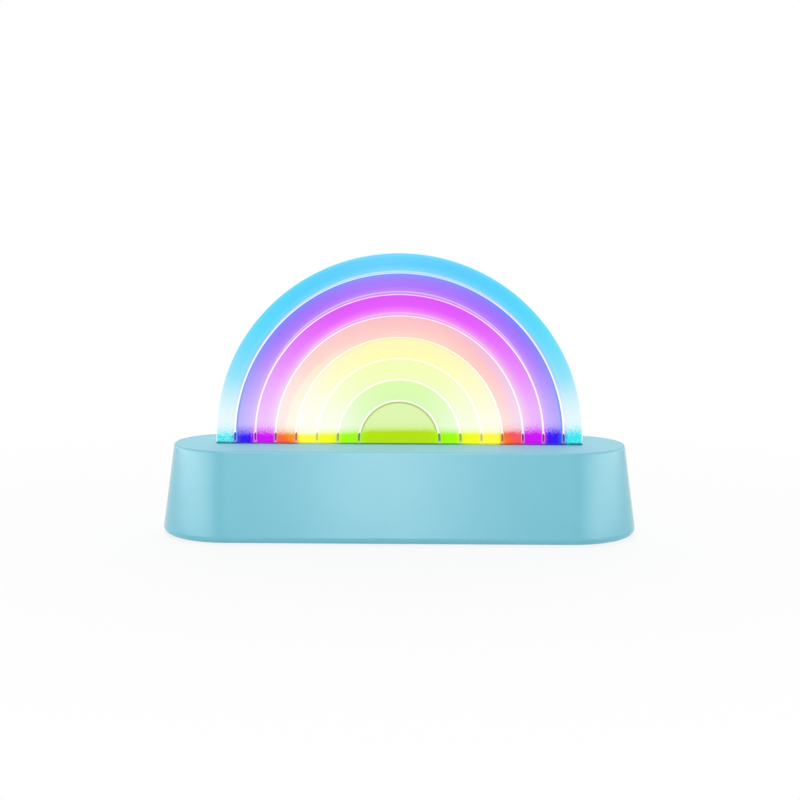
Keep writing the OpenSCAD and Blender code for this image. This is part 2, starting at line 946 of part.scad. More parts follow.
module clamp_screws() {
    color("#B9BCC0")
    for (side = [-1, 1])
        translate([0, -cell_y + side * clamp_y, cell_z + clamp_foot_t])
            rotate([180, 0, 0])
                screw_up(clamp_screw_d, clamp_screw_l, small_head_d, small_head_h);
}

// Open-topped connector header on the board's inner face
module header(at) {
    on_board_back(at)
        difference() {
            translate([-header_size[0] / 2, -header_size[1] / 2, 0])
                cube(header_size);
            translate([
                header_wall - header_size[0] / 2,
                header_wall - header_size[1] / 2,
                header_size[2] - plug_sunk
            ])
                cube([header_size[0] - 2 * header_wall, header_size[1] - 2 * header_wall, plug_sunk + past]);
        }
}

// Plug that is pushed into a header
module header_plug(at) {
    on_board_back(at)
        translate([-plug_size[0] / 2, -plug_size[1] / 2, header_size[2] - plug_sunk])
            cube(plug_size);
}

// Place where wire k of n leaves a plug
function plug_exit(at, k, n) = rear_point(
    at[0] + (k - (n - 1) / 2) * lead_pitch, at[1], board_back + header_size[2] - plug_sunk + plug_size[2]
);

module battery_header() {
    color("#F3EFE2")
    header(battery_header_at);
}

module battery_plug() {
    color("#EFEADB")
    header_plug(battery_header_at);
}

module led_header() {
    color("#F3EFE2")
    header(led_header_at);
}

module led_plug() {
    color("#EFEADB")
    header_plug(led_header_at);
}

module battery_lead_red() {
    color("#C8322B")
    lead(red_route);
}

module battery_lead_black() {
    color("#26272A")
    lead(black_route);
}

// Three wires from the board to the underside of the light board
module led_leads() {
    color("#E8E8E4")
    for (k = [0:led_header_pins - 1]) {
        start = plug_exit(led_header_at, k, led_header_pins);
        end = [lead_x + (k - 1) * lead_pitch, 0, pocket_floor];
        lead([start, start + 4 * inward, end + [0, 4, -8], end + [0, 0, -4], end]);
    }
}

base_housing();
bottom_cover();
rubber_feet();
cover_screws();
rainbow_panel();
light_channel();
channel_screws();
light_mask();
led_board();
leds_cyan();
leds_blue();
leds_magenta();
leds_orange();
leds_yellow();
leds_lemon();
leds_green();
leds_lime();
control_board();
board_screws();
controller_chip();
charger_chip();
power_inductor();
board_capacitors();
usb_shell();
usb_tongue();
power_button();
power_plunger();
power_switch();
mode_button();
mode_plunger();
mode_switch();
battery_cell();
battery_tabs();
battery_clamp();
clamp_screws();
battery_header();
battery_plug();
battery_lead_red();
battery_lead_black();
led_header();
led_plug();
led_leads();
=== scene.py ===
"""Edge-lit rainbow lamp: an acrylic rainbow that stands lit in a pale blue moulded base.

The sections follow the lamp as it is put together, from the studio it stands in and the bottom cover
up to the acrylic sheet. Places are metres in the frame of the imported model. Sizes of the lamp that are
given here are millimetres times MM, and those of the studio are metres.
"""

import math

import bpy
import numpy as np
from mathutils import Matrix, Vector
from mathutils.geometry import delaunay_2d_cdt


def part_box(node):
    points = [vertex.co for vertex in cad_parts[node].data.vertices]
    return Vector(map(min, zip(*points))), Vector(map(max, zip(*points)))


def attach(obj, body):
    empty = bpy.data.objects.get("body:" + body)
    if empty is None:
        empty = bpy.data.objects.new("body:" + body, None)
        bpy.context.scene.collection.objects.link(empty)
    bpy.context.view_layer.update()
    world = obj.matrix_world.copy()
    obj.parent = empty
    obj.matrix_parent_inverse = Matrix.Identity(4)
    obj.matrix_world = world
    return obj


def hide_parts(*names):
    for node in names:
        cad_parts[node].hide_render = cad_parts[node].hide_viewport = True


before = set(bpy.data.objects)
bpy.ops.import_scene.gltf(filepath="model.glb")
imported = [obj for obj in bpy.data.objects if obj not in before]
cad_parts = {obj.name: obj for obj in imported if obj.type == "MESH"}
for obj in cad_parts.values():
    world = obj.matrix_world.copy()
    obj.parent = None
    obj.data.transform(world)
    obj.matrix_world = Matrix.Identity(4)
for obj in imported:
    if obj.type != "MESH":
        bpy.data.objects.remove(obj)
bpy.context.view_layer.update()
MM = 0.001


# Camera. The photograph looks at the lamp's front from a little above and a hair to the right, from
# about a metre away with a long lens. Its direction and lens come from a fit to the lamp's outline.
aim = Vector((0.35, 0, 68.2)) * MM
azimuth, elevation, roll = (math.radians(a) for a in (0.98, 8.04, 0.14))
distance = 1000 * MM
sensor_width, focal_pixels, picture_pixels = 36, 1985.25, 800
back = Vector((
    math.sin(azimuth) * math.cos(elevation),
    -math.cos(azimuth) * math.cos(elevation),
    math.sin(elevation),
))
right = Vector((math.cos(azimuth), math.sin(azimuth), 0))
up = back.cross(right)
across = right * math.cos(roll) + up * math.sin(roll)
upright = up * math.cos(roll) - right * math.sin(roll)
turned = Matrix((across, upright, back)).transposed().to_4x4()
camera = bpy.data.objects.new("camera", bpy.data.cameras.new("camera"))
camera.data.sensor_width = sensor_width
camera.data.lens = sensor_width * focal_pixels / picture_pixels
camera.matrix_world = Matrix.Translation(aim + distance * back) @ turned
bpy.context.collection.objects.link(camera)
bpy.context.scene.camera = camera
bpy.context.scene.view_settings.view_transform = "Standard"


# Studio. A bowl of white painted board, flat under the lamp and rising all round, so that no horizon
# shows. The camera, mirrors and clear plastic see it near full white, but the lamp's soft shadow stays on
# it. Soft boxes light the lamp from above, in front, behind and low at both sides.
def linear(hexa):
    """An sRGB hex value as a linear colour with alpha 1.

    Each channel, as a share of 1, is divided by 12.92 up to 0.04045. Above that, 0.055 is added, the sum
    is divided by 1.055 and raised to the power 2.4.
    """
    srgb = np.array([int(hexa[i:i + 2], 16) for i in (0, 2, 4)]) / 255
    low = srgb <= 0.04045
    return (*np.where(low, srgb / 12.92, ((srgb + 0.055) / 1.055) ** 2.4), 1.0)


def add(tree, kind, links=None, stops=None, **settings):
    """Adds a node with its settings. links gives each socket a value, or another node's first live output.

    stops fills a colour ramp with pairs of a place and either a hex colour or a level of grey.
    """
    made = tree.nodes.new("ShaderNode" + kind)
    for name, value in settings.items():
        setattr(made, name, value)
    for socket, value in (links or {}).items():
        if isinstance(value, bpy.types.Node):
            value = next(o for o in value.outputs if o.enabled)
        if isinstance(value, bpy.types.NodeSocket):
            tree.links.new(value, made.inputs[socket])
        else:
            made.inputs[socket].default_value = value
    if stops:
        marks = made.color_ramp.elements
        while len(marks) < len(stops):
            marks.new(1.0)
        for mark, (place, colour) in zip(marks, stops):
            mark.position = place
            mark.color = linear(colour) if isinstance(colour, str) else (colour, colour, colour, 1.0)
    return made


def bare_rays(tree):
    """1 for rays that see the studio bare, from the camera, a mirror or clear plastic, and 0 for others."""
    ray = add(tree, "LightPath")
    camera_ray, clear_ray, mirror_ray = (
        ray.outputs[name] for name in ("Is Camera Ray", "Is Transmission Ray", "Is Glossy Ray"))
    seen = add(tree, "Math", {0: camera_ray, 1: clear_ray}, operation="MAXIMUM")
    return add(tree, "Math", {0: seen, 1: mirror_ray}, operation="MAXIMUM")


surround_light = 0.27
world = bpy.data.worlds.new("white_surround")
bpy.context.scene.world = world
world.use_nodes = True
tree = world.node_tree
tree.nodes.clear()
level = add(tree, "MapRange", {"Value": bare_rays(tree), "To Min": surround_light, "To Max": 1.0})
surround = add(tree, "Background", {"Color": (1, 1, 1, 1), "Strength": level})
add(tree, "OutputWorld", {"Surface": surround})

# The bowl is turned about the z axis: flat to flat_r, then a quarter circle of bend_r up, where its radius
# is flat_r + bend_r times the angle's sine and its height is bend_r less bend_r times its cosine
flat_r, bend_r, sides = 2.6, 1.2, 96
bend = np.radians(np.linspace(0, 90, 13))
bowl_r = np.concatenate([[0.0, 0.5, 2.0], flat_r + bend_r * np.sin(bend)])
bowl_z = np.concatenate([[0.0, 0.0, 0.0], bend_r - bend_r * np.cos(bend)])
around = np.radians(np.arange(sides) * 360 / sides)
ring_r, ring_z = bowl_r[1:, None], bowl_z[1:, None]
rings = np.stack([ring_r * np.cos(around), ring_r * np.sin(around), ring_z * np.ones(sides)], 2)
bowl_points = np.concatenate([[[0.0, 0.0, 0.0]], rings.reshape(-1, 3)])
ids = 1 + np.arange(rings.shape[0] * sides).reshape(-1, sides)
ahead = np.roll(ids, -1, 1)
middle = np.stack([np.zeros(sides, int), ids[0], ahead[0]], 1)
quads = np.stack([ids[:-1], ids[1:], ahead[1:], ahead[:-1]], -1).reshape(-1, 4)
table_mesh = bpy.data.meshes.new("table")
table_mesh.from_pydata(bowl_points.tolist(), [], middle.tolist() + quads.tolist())
table_mesh.polygons.foreach_set("use_smooth", np.ones(len(table_mesh.polygons), bool))
table = bpy.data.objects.new("table", table_mesh)
bpy.context.collection.objects.link(table)

# The paint has the faint cloud of a roller. It is full white from shadow_end outwards to bare rays, and
# nearer the lamp it shows more of the light that falls on it, and so the shadow
shadow_start, shadow_end = 0.14, 0.4
roller_cloud = 40 * MM
white_board = bpy.data.materials.new("white_painted_board")
white_board.use_nodes = True
tree = white_board.node_tree
tree.nodes.clear()
seen = bare_rays(tree)
place = add(tree, "TexCoord").outputs["Object"]
away = add(tree, "VectorMath", {0: place}, operation="LENGTH").outputs["Value"]
whiter = add(tree, "MapRange", {
    "Value": away, "From Min": shadow_start, "From Max": shadow_end, "To Min": 0.86, "To Max": 1.0})
whiten = add(tree, "Math", {0: seen, 1: whiter}, operation="MULTIPLY")
whiten = add(tree, "Math", {0: whiten, 1: 0.15}, operation="MAXIMUM")
clouds = add(tree, "TexNoise", {"Scale": 1 / roller_cloud, "Detail": 3.0})
paint = add(tree, "MapRange", {"Value": clouds, "To Min": 0.86, "To Max": 0.9})
matt = add(tree, "BsdfDiffuse", {"Color": paint})
white = add(tree, "Emission", {"Color": (1, 1, 1, 1), "Strength": 1.0})
mixed = add(tree, "MixShader", {0: whiten, 1: matt, 2: white})
add(tree, "OutputMaterial", {"Surface": mixed})
table_mesh.materials.append(white_board)


def soft_box(name, place, size, watts, fades=False):
    """A rectangular lamp of the given size in metres, at place, turned towards the middle of the base.

    Where it fades, its light falls from its middle to nothing at its two ends as 4 u (1 - u), where
    u goes from 0 to 1 along its width.
    """
    light = bpy.data.lights.new(name, "AREA")
    light.shape = "RECTANGLE"
    light.size, light.size_y = size
    light.energy = watts
    lamp = bpy.data.objects.new(name, light)
    lamp.location = place
    to_base = Vector((0, 0, 0.03)) - Vector(place)
    lamp.rotation_euler = to_base.to_track_quat("-Z", "Y").to_euler()
    lamp.visible_camera = False
    if fades:
        light.use_nodes = True
        tree = light.node_tree
        surface_place = add(tree, "NewGeometry").outputs["Parametric"]
        u = add(tree, "SeparateXYZ", {0: surface_place}).outputs["X"]
        rest = add(tree, "Math", {0: 1.0, 1: u}, operation="SUBTRACT")
        bump = add(tree, "Math", {0: u, 1: rest}, operation="MULTIPLY")
        level = add(tree, "Math", {0: bump, 1: 4.0}, operation="MULTIPLY")
        tree.links.new(level.outputs["Value"], tree.nodes["Emission"].inputs["Strength"])
    bpy.context.collection.objects.link(lamp)


# The low boxes at the sides fade out, so that their mirrors on the satin walls end softly
soft_box("top_box", (0, 0, 1.3), (0.8, 0.8), 3.2)
soft_box("front_column", (-0.04, -0.88, 0.85), (0.34, 1.2), 5.2)
soft_box("front_strip", (-0.04, -1.28, 0.19), (0.07, 0.3), 0.8)
soft_box("left_box", (-1.16, -0.12, 0.12), (4.1, 0.2), 11.5, fades=True)
soft_box("right_box", (1.16, -0.12, 0.12), (4.1, 0.2), 10.5, fades=True)
soft_box("rear_box", (0, 1.0, 1.0), (1.4, 0.8), 8)


# Bottom cover. A flat plate of the same satin pale blue ABS as the housing, let into the housing's foot
# and screwed up into its posts. It is injection moulded, and satin ABS mirrors the soft boxes as broad
# pale bands without an edge.
def finish(node, material, edge=0.0):
    """Dresses a CAD node: joins its loose triangles, rounds its edges by edge mm and smooths its faces.

    Only edges that turn by more than 32 degrees are rounded, which leaves its curved faces alone.
    """
    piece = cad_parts[node]
    piece.data.materials.clear()
    piece.data.materials.append(material)
    piece.data.polygons.foreach_set("use_smooth", np.ones(len(piece.data.polygons), bool))
    weld = piece.modifiers.new("weld", "WELD")
    weld.merge_threshold = 1e-6
    if edge:
        bevel = piece.modifiers.new("bevel", "BEVEL")
        bevel.width = edge * MM
        bevel.segments = 2
        bevel.limit_method = "ANGLE"
        bevel.angle_limit = math.radians(32)
    normals = piece.modifiers.new("normals", "WEIGHTED_NORMAL")
    normals.weight = 60


def moulded_plastic(name, colour, roughness, grain=0.25, relief=0.02, shade=None, gloss=0.5):
    """Injection moulded plastic, with faint clouds from shade to colour where the melt flowed.

    grain and relief are the spacing and depth of its spark-eroded grain in mm. They are coarser than real
    ones, so that they show. The roughness goes up and down by 0.04 with the grain.
    """
    material = bpy.data.materials.new(name)
    material.use_nodes = True
    tree = material.node_tree
    surface = tree.nodes["Principled BSDF"]
    place = add(tree, "TexCoord").outputs["Object"]
    clouds = add(tree, "TexNoise", {"Vector": place, "Scale": 1 / (18 * MM), "Detail": 2.0})
    tone = add(tree, "ValToRGB", {"Fac": clouds}, stops=[(0.3, shade or colour), (0.7, colour)])
    tree.links.new(tone.outputs["Color"], surface.inputs["Base Color"])
    pits = add(tree, "TexNoise", {"Vector": place, "Scale": 1 / (grain * MM), "Detail": 3.0})
    satin = add(tree, "MapRange", {"Value": pits, "To Min": roughness - 0.04, "To Max": roughness + 0.04})
    tree.links.new(satin.outputs["Result"], surface.inputs["Roughness"])
    eroded = add(tree, "Bump", {"Height": pits, "Distance": relief * MM, "Strength": 0.5})
    tree.links.new(eroded.outputs["Normal"], surface.inputs["Normal"])
    surface.inputs["IOR"].default_value = 1.53
    surface.inputs["Specular IOR Level"].default_value = gloss
    return material


blue_abs = moulded_plastic("satin_blue_abs", "6FBCCD", 0.21, shade="6CBACB", gloss=0.55)
# Faces that look up were spark-eroded coarser than the walls, so they are matter
coarser_by = 0.26
tree = blue_abs.node_tree
surface = tree.nodes["Principled BSDF"]
satin = surface.inputs["Roughness"].links[0].from_socket
upward = add(tree, "SeparateXYZ", {0: add(tree, "TexCoord").outputs["Normal"]}).outputs["Z"]
coarser = add(tree, "MapRange", {
    "Value": upward, "From Min": 0.7, "From Max": 0.95, "To Min": 0.0, "To Max": coarser_by})
faced = add(tree, "Math", {0: satin, 1: coarser}, operation="ADD")
tree.links.new(faced.outputs["Value"], surface.inputs["Roughness"])
finish("bottom_cover", blue_abs, 0.15)


# Feet and screws. The feet are moulded silicone pads, stuck into recesses of the cover, matt and a little
# dusty. Every screw of the lamp is zinc plated steel with a cross recess, bright but without a clear
# mirror, as plating is.
def sheet_metal(name, colour, roughness, grain=(0.4, 0.4, 0.4), worn="8E9196"):
    """Plated or drawn metal, with fine marks whose spacing along x, y and z is given in mm.

    The colour goes from worn to colour, and the roughness from 0.06 below to 0.08 above, with the marks,
    which are drawn coarser than real ones so that they show.
    """
    material = bpy.data.materials.new(name)
    material.use_nodes = True
    tree = material.node_tree
    surface = tree.nodes["Principled BSDF"]
    place = add(tree, "TexCoord").outputs["Object"]
    drawn = add(tree, "Mapping", {"Vector": place, "Scale": [1 / (g * MM) for g in grain]})
    marks = add(tree, "TexNoise", {"Vector": drawn, "Scale": 1.0, "Detail": 3.0})
    tone = add(tree, "ValToRGB", {"Fac": marks}, stops=[(0.25, worn), (0.75, colour)])
    tree.links.new(tone.outputs["Color"], surface.inputs["Base Color"])
    polish = add(tree, "MapRange", {"Value": marks, "To Min": roughness - 0.06, "To Max": roughness + 0.08})
    tree.links.new(polish.outputs["Result"], surface.inputs["Roughness"])
    surface.inputs["Metallic"].default_value = 1.0
    return material


silicone = moulded_plastic("grey_silicone", "4A4F55", 0.7, grain=0.4, relief=0.04, shade="42474D", gloss=0.3)
finish("rubber_feet", silicone, 0.15)
zinc_steel = sheet_metal("zinc_plated_steel", "C6C9CD", 0.32)
for screws in ("cover_screws", "channel_screws", "board_screws", "clamp_screws"):
    finish(screws, zinc_steel, 0.08)

# Battery. A round rechargeable cell in glossy blue shrink film lies in the saddles of the cover, held by a
# milky polypropylene clamp. Soft shining nickel tabs are spot welded to its ends. The leads have satin PVC
# insulation, and they and the lights' leads plug in with ivory nylon connectors.
shrink_film = moulded_plastic("blue_shrink_film", "4C78C9", 0.25, grain=1.2, relief=0.03, shade="4470C2")
finish("battery_cell", shrink_film, 0.4)
nickel = sheet_metal("nickel_strip", "D5D2C8", 0.3, grain=(0.3, 2, 0.3))
finish("battery_tabs", nickel, 0.08)
polypropylene = moulded_plastic("natural_polypropylene", "E4E6E2", 0.45, shade="DDE0DB")
finish("battery_clamp", polypropylene, 0.2)
red_pvc = moulded_plastic("red_pvc_insulation", "C8322B", 0.4, grain=0.8)
black_pvc = moulded_plastic("black_pvc_insulation", "26272A", 0.4, grain=0.8)
white_pvc = moulded_plastic("white_pvc_insulation", "E8E8E4", 0.4, grain=0.8, shade="E0E0DC")
finish("battery_lead_red", red_pvc)
finish("battery_lead_black", black_pvc)
finish("led_leads", white_pvc)
nylon = moulded_plastic("natural_nylon", "F1ECDD", 0.45, shade="EAE4D2")
for connector in ("battery_header", "battery_plug", "led_header", "led_plug"):
    finish(connector, nylon, 0.12)

# Control board. A glossy green solder mask over woven glass laminate, etched and screwed to the housing,
# with copper tracks that show through as slightly lighter lines. On it are chips of dull black epoxy, a
# grey ferrite inductor and bright cans of drawn aluminium, all soldered.
track_spacing, weave_spacing = 3.2 * MM, 0.5 * MM
solder_mask = bpy.data.materials.new("green_solder_mask")
solder_mask.use_nodes = True
tree = solder_mask.node_tree
surface = tree.nodes["Principled BSDF"]
place = add(tree, "TexCoord").outputs["Object"]
cells = add(tree, "TexVoronoi", {"Vector": place, "Scale": 1 / track_spacing}, distance="MANHATTAN",
            feature="DISTANCE_TO_EDGE")
tracks = add(tree, "ValToRGB", {"Fac": cells}, stops=[(0.0, "4B9C62"), (0.07, "4B9C62"), (0.1, "2A7446")])
tree.links.new(tracks.outputs["Color"], surface.inputs["Base Color"])
weave = add(tree, "TexChecker", {"Vector": place, "Scale": 1 / weave_spacing})
fabric = add(tree, "Bump", {"Height": weave.outputs["Fac"], "Distance": 0.01 * MM, "Strength": 0.3})
tree.links.new(fabric.outputs["Normal"], surface.inputs["Normal"])
surface.inputs["Roughness"].default_value = 0.3
finish("control_board", solder_mask, 0.08)
black_epoxy = moulded_plastic("black_epoxy", "2A2B2E", 0.6, grain=0.15)
for chip in ("controller_chip", "charger_chip"):
    finish(chip, black_epoxy, 0.04)
ferrite = moulded_plastic("ferrite_compound", "3B3D42", 0.55, grain=0.2)
finish("power_inductor", ferrite, 0.12)
drawn_can = sheet_metal("drawn_aluminium", "C9CDD2", 0.25, grain=(2, 0.3, 2))
finish("board_capacitors", drawn_can, 0.2)

# Charging inlet. A deep drawn oval shell of nickel plated steel round a black tongue of liquid
# crystal polymer, soldered to the board. The shell has the soft mirror of bright nickel.
bright_nickel = sheet_metal("bright_nickel", "D2D4D8", 0.2)
finish("usb_shell", bright_nickel, 0.06)
black_polymer = moulded_plastic("black_liquid_crystal_polymer", "25262A", 0.5, grain=0.2)
finish("usb_tongue", black_polymer, 0.06)

# Housing. The pale blue shell is one ABS moulding with its posts and bosses inside. Its walls lean
# inwards so that it leaves the mould, and its top rim and its rounded foot catch the light.
finish("base_housing", blue_abs, 0.15)

# Buttons and switches. Each cap is polished white ABS with a low dome, which mirrors clearly. Its stem
# reaches in to a push switch, a satin black moulded body with a waxy acetal plunger, soldered to the board.
white_abs = moulded_plastic("polished_white_abs", "F2F5F6", 0.16, grain=0.6, relief=0.004, shade="EEF2F3")
black_acetal = moulded_plastic("black_acetal", "33353A", 0.4)
black_pbt = moulded_plastic("black_pbt", "1F2023", 0.5)
for key in ("power", "mode"):
    finish(key + "_button", white_abs, 0.25)
    finish(key + "_plunger", black_acetal, 0.15)
    finish(key + "_switch", black_pbt, 0.15)

# Light channel. An extruded aluminium profile, dark anodised to a satin near black, screwed under the top
# of the housing. Drawing marks run along it. Where it stands out of the base beside the sheet, the light
# that the diodes throw on it is painted on as a glow.
base_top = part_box("base_housing")[1].z
dark_anodised = sheet_metal("dark_anodised_aluminium", "202226", 0.42, grain=(12, 0.3, 0.3), worn="141517")

# The saturated light in the foot of the sheet, from the middle outwards: its colour, the stretch over which
# it is pure, in mm from the middle, and the height in mm to which it fills the sheet. A foot has one entry,
# but the orange one has three and the blue one two, because they change over their width
foot_light = [
    ("B4E200", 0, 15, 6.0), ("A0FD04", 24, 28, 4.6), ("F4FD1E", 34, 39, 4.4), ("FDFC3E", 43, 50.2, 4.0),
    ("FA901E", 51.8, 53, 4.5), ("FC6C2A", 56, 57, 4.6), ("FA5660", 60.4, 61, 4.5),
    ("D206F6", 63.4, 73.2, 4.6),
    ("3616F6", 75.2, 79.5, 4.3), ("3460F4", 82.4, 83, 4.3),
    ("30E6F0", 84.8, 92.5, 4.2),
]
foot_reach = foot_light[-1][2]


def foot_ramp(tree, distance, values="colour"):
    """The lit foot's colour, or its height in cm, at a distance in mm from the middle.

    It is an entry's own value over the entry's stretch, and goes evenly from one to the next between them.
    """
    share = add(tree, "MapRange", {"Value": distance, "From Max": foot_reach})
    stops = []
    for colour, near, far, fill in foot_light:
        value = fill / 10 if values == "height" else colour
        stops += [(near / foot_reach, value), (far / foot_reach, value)]
    return add(tree, "ValToRGB", {"Fac": share}, stops=stops)


def dark_foot(tree, distance, thrown, low):
    """The dark colours where the light enters the sheet, at a distance in mm from the middle.

    They are the thrown light, or its square by the share low, times a share that changes from band to band.
    They are painted light and shade: the glow on the channel, and the shade on the sheet's slot edges and
    lip line.
    """
    share = add(tree, "MapRange", {"Value": distance, "From Max": foot_reach})
    dimmed = add(tree, "ValToRGB", {"Fac": share}, stops=[
        (0.0, 0.34), (0.3, 0.36), (0.4, 0.6), (0.52, 0.6), (0.58, 0.46), (0.92, 0.4), (0.935, 0.2)])
    deep = add(tree, "VectorMath", {0: thrown, 1: thrown}, operation="MULTIPLY")
    deepened = add(tree, "Mix", {0: low, 6: thrown, 7: deep}, data_type="RGBA").outputs[2]
    return add(tree, "Mix", {0: dimmed, 6: (0, 0, 0, 1), 7: deepened}, data_type="RGBA").outputs[2]


# The glow painted on the channel runs from a little below the top of the base upwards, and up to the
# height of its front lip the painted light is squared, which deepens it
glow_depth, lip_height, rear_glow = 0.4 * MM, 0.7 * MM, 0.06
tree = dark_anodised.node_tree
surface = tree.nodes["Principled BSDF"]
xyz = add(tree, "SeparateXYZ", {0: add(tree, "TexCoord").outputs["Object"]})
aside_m = add(tree, "Math", {0: xyz.outputs["X"]}, operation="ABSOLUTE")
aside = add(tree, "Math", {0: aside_m, 1: 1 / MM}, operation="MULTIPLY")
thrown = foot_ramp(tree, aside)
above = add(tree, "MapRange", {
    "Value": xyz.outputs["Z"], "From Min": base_top - glow_depth, "From Max": base_top})
lip = add(tree, "Math", {0: xyz.outputs["Z"], 1: base_top + lip_height}, operation="LESS_THAN")
# The rear face of the back wall looks away from the sheet, and gets little of the painted glow
rearward = add(tree, "SeparateXYZ", {0: add(tree, "TexCoord").outputs["Normal"]}).outputs["Y"]
outward = add(tree, "Math", {0: rearward, 1: 0.5}, operation="GREATER_THAN")
inward = add(tree, "MapRange", {"Value": outward, "To Min": 1.0, "To Max": rear_glow})
glow = add(tree, "Math", {0: above, 1: inward}, operation="MULTIPLY")
tree.links.new(dark_foot(tree, aside, thrown, lip), surface.inputs["Emission Color"])
tree.links.new(glow.outputs["Value"], surface.inputs["Emission Strength"])
finish("light_channel", dark_anodised, 0.12)

# Light board, mask and diodes. A board with matt white solder mask carries one soldered diode for each foot
# of an arch, and four under the half disc. The mask over it is moulded of white polycarbonate, so that no
# light is lost.
white_mask = moulded_plastic("white_polycarbonate", "F2F2EE", 0.5, shade="ECECE8")
finish("light_mask", white_mask, 0.1)
white_resist = moulded_plastic("white_solder_mask", "E9EDE6", 0.35, grain=0.5, shade="E2E7DF")
finish("led_board", white_resist, 0.1)
lens_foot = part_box("leds_cyan")[1].z - 0.4 * MM


def lit_diode(name, colour):
    """A white ceramic package. Its round lens, above lens_foot, shines in its colour, with paler specks."""
    material = bpy.data.materials.new(name)
    material.use_nodes = True
    tree = material.node_tree
    surface = tree.nodes["Principled BSDF"]
    place = add(tree, "TexCoord").outputs["Object"]
    top = add(tree, "SeparateXYZ", {0: place}).outputs["Z"]
    lens = add(tree, "Math", {0: top, 1: lens_foot}, operation="GREATER_THAN")
    speck = add(tree, "TexNoise", {"Vector": place, "Scale": 1 / (0.6 * MM)})
    tone = add(tree, "ValToRGB", {"Fac": speck}, stops=[(0.3, "E6E8E4"), (0.7, "F2F3F0")])
    shine = add(tree, "ValToRGB", {"Fac": speck}, stops=[(0.2, colour), (0.9, "FFFFFF")])
    glow = add(tree, "MapRange", {"Value": lens, "To Min": 0.0, "To Max": 2.5})
    tree.links.new(tone.outputs["Color"], surface.inputs["Base Color"])
    tree.links.new(shine.outputs["Color"], surface.inputs["Emission Color"])
    tree.links.new(glow.outputs["Result"], surface.inputs["Emission Strength"])
    surface.inputs["Roughness"].default_value = 0.25
    return material


diode_colours = {
    "cyan": "28D8F1", "blue": "381AF7", "magenta": "D000F8", "orange": "FF6020",
    "yellow": "FFE820", "lemon": "F0FF1E", "green": "90FF00", "lime": "B8E200",
}
for colour_name, colour in diode_colours.items():
    finish("leds_" + colour_name, lit_diode(colour_name + "_diode", colour), 0.06)

# Rainbow panel. One sheet of clear cast acrylic, cut by laser into eight bands that stay joined at
# their feet. Light from the diodes runs up inside each band: it is strongest in the lowest few
# millimetres, pales to white above them and keeps a pastel tint over the crown.
sheet_low, sheet_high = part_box("rainbow_panel")
sheet_r = sheet_high.x
sheet_t = sheet_high.y - sheet_low.y
sheet_lift = sheet_high.z - base_top - sheet_r
# Radius of the sheet's edges, which the laser's heat rounds
sheet_edge = 0.12 * MM
# Width of a slot, and how much narrower each is at its crown, as in the photograph
slot_w = 0.9 * MM
slot_waists = np.array([0.2, 0.2, 0.3, 0.72, 0.5, 0.42, 0.47]) * MM
slot_count = len(slot_waists)
# Width of the outermost band at its foot, up to the middle of the outermost slot
rim_band = 9.45 * MM
# Step in height from one slot's crown to the next
slot_pitch = 10.7 * MM
# How much each further slot is drawn in at its feet and lifted at its centre
foot_tuck = 0.05 * MM
# Height of the innermost slot's centre, and of the slots' round ends, above the base
slot_stilt = 1.5 * MM
slot_floor = 0.7 * MM
# Slot i, counted outwards from 0, has a radius of first_slot_r plus slot_pitch times i less foot_tuck times
# i squared. Its centre is slot_stilt plus foot_tuck times i squared above the base
last = slot_count - 1
first_slot_r = sheet_r - rim_band - slot_pitch * last + foot_tuck * last ** 2
slots = np.arange(slot_count)
slot_radii = first_slot_r + slot_pitch * slots - foot_tuck * slots * slots
slot_springs = base_top + slot_stilt + foot_tuck * slots * slots


def arc(centre, radius, start, end, step=1.5):
    """Points round a centre in the XZ plane, from one angle to another in degrees, about step degrees apart.

    Each is the centre plus the radius times the angle's cosine in X and its sine in Z.
    """
    angles = np.radians(np.linspace(start, end, max(2, round(abs(end - start) / step) + 1)))
    return np.stack([centre[0] + radius * np.cos(angles), centre[1] + radius * np.sin(angles)], 1)


def slot_loop(i):
    """The outline of slot i: its outer arc from right to left, a round end, its inner arc back, a round end.

    The centre of the outer arc lies lower and that of the inner arc higher by half the slot's waist,
    so that the slot narrows towards its crown by that waist.
    """
    radius, spring = slot_radii[i], slot_springs[i]
    end = base_top + slot_floor + slot_w / 2
    half_waist = slot_waists[i] / 2
    return np.concatenate([
        arc((0, spring - half_waist), radius + slot_w / 2, 0, 180),
        arc((-radius, end), slot_w / 2, 180, 360, 20),
        arc((0, spring + half_waist), radius - slot_w / 2, 180, 0),
        arc((radius, end), slot_w / 2, 180, 360, 20),
    ])


def inset_loop(loop, depth):
    """A closed loop moved to its left by depth.

    Each point goes along the sum of the left normals of its two sides, over 1 plus the dot product of the
    sides' directions, so that both sides move by depth.
    """
    ahead = np.roll(loop, -1, 0) - loop
    ahead /= np.linalg.norm(ahead, axis=1, keepdims=True)
    behind = np.roll(ahead, 1, 0)
    left = np.stack([-(ahead + behind)[:, 1], (ahead + behind)[:, 0]], 1)
    left /= 1 + (ahead * behind).sum(1, keepdims=True)
    return loop + depth * left


outline = np.concatenate([
    [[-sheet_r, sheet_low.z], [sheet_r, sheet_low.z]],
    arc((0, base_top + sheet_lift), sheet_r, 0, 180, 0.8),
])
# Each loop runs with the acrylic on its left: the outline anticlockwise and the slots clockwise
loops = [outline] + [slot_loop(i)[::-1] for i in slots]
